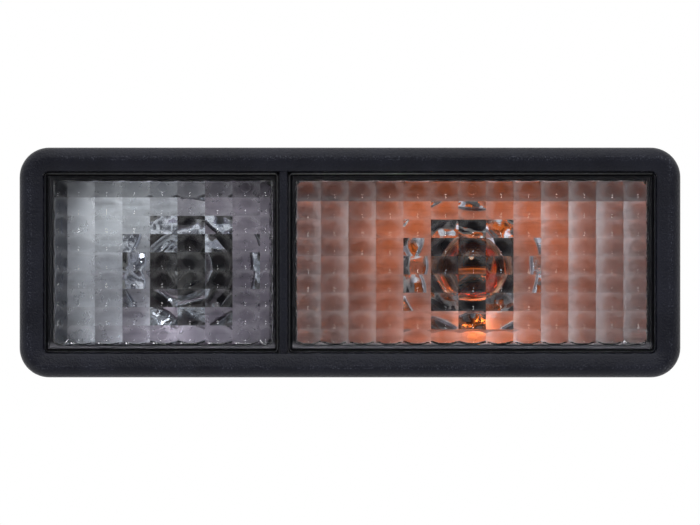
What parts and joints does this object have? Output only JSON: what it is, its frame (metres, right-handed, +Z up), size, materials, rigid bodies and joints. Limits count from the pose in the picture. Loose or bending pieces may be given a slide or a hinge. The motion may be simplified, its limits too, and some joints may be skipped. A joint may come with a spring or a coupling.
{
  "type": "rear bumper lamp",
  "caption": "Wide rear bumper lamp with a reversing lamp and a turn indicator behind clear pillow-optic lenses in a grained black bezel, with twist-in bulb holders.",
  "frame": {"origin": "midpoint between the two fixing studs, in the plane of the bezel's rear edge that meets the bumper", "axes": "+X to the right seen from in front of the lens, +Y back through the bumper, +Z up; the lens looks along -Y"},
  "size_m": [0.24, 0.0714, 0.0834],
  "materials": {
    "grained_black": "fine spark-eroded grain, satin",
    "clear_lens": "gloss, clear acrylic",
    "black_moulding": "moulded satin",
    "metallised": "vacuum-metallised, slightly diffuse",
    "clear_glass": "gloss",
    "amber_glass": "gloss",
    "cap_brass": "nickel-washed brass",
    "bulb_steel": "bright wire and glass foot",
    "cap_insulator": "black vitrite",
    "holder_black": "moulded nylon, satin",
    "contact_brass": "rolled strip",
    "seal_rubber": "matt",
    "foam_rubber": "closed-cell foam, matt",
    "plated_steel": "zinc plated"
  },
  "bodies": {
    "root": {"bezel": "grained_black", "reversing_lens": "clear_lens", "indicator_lens": "clear_lens", "lens_seal": "seal_rubber", "housing": "black_moulding", "reversing_reflector": "metallised", "indicator_reflector": "metallised", "reversing_bulb_glass": "clear_glass", "indicator_bulb_glass": "amber_glass", "reversing_bulb_cap": "cap_brass", "indicator_bulb_cap": "cap_brass", "reversing_filament": "bulb_steel", "indicator_filament": "bulb_steel", "reversing_base_contact": "cap_insulator", "indicator_base_contact": "cap_insulator", "reversing_holder": "holder_black", "indicator_holder": "holder_black", "reversing_holder_seal": "seal_rubber", "indicator_holder_seal": "seal_rubber", "reversing_contacts": "contact_brass", "indicator_contacts": "contact_brass", "reversing_terminals": "contact_brass", "indicator_terminals": "contact_brass", "mounting_gasket": "foam_rubber", "fixing_studs": "plated_steel", "vent_cap": "seal_rubber"}
  },
  "joints": []
}
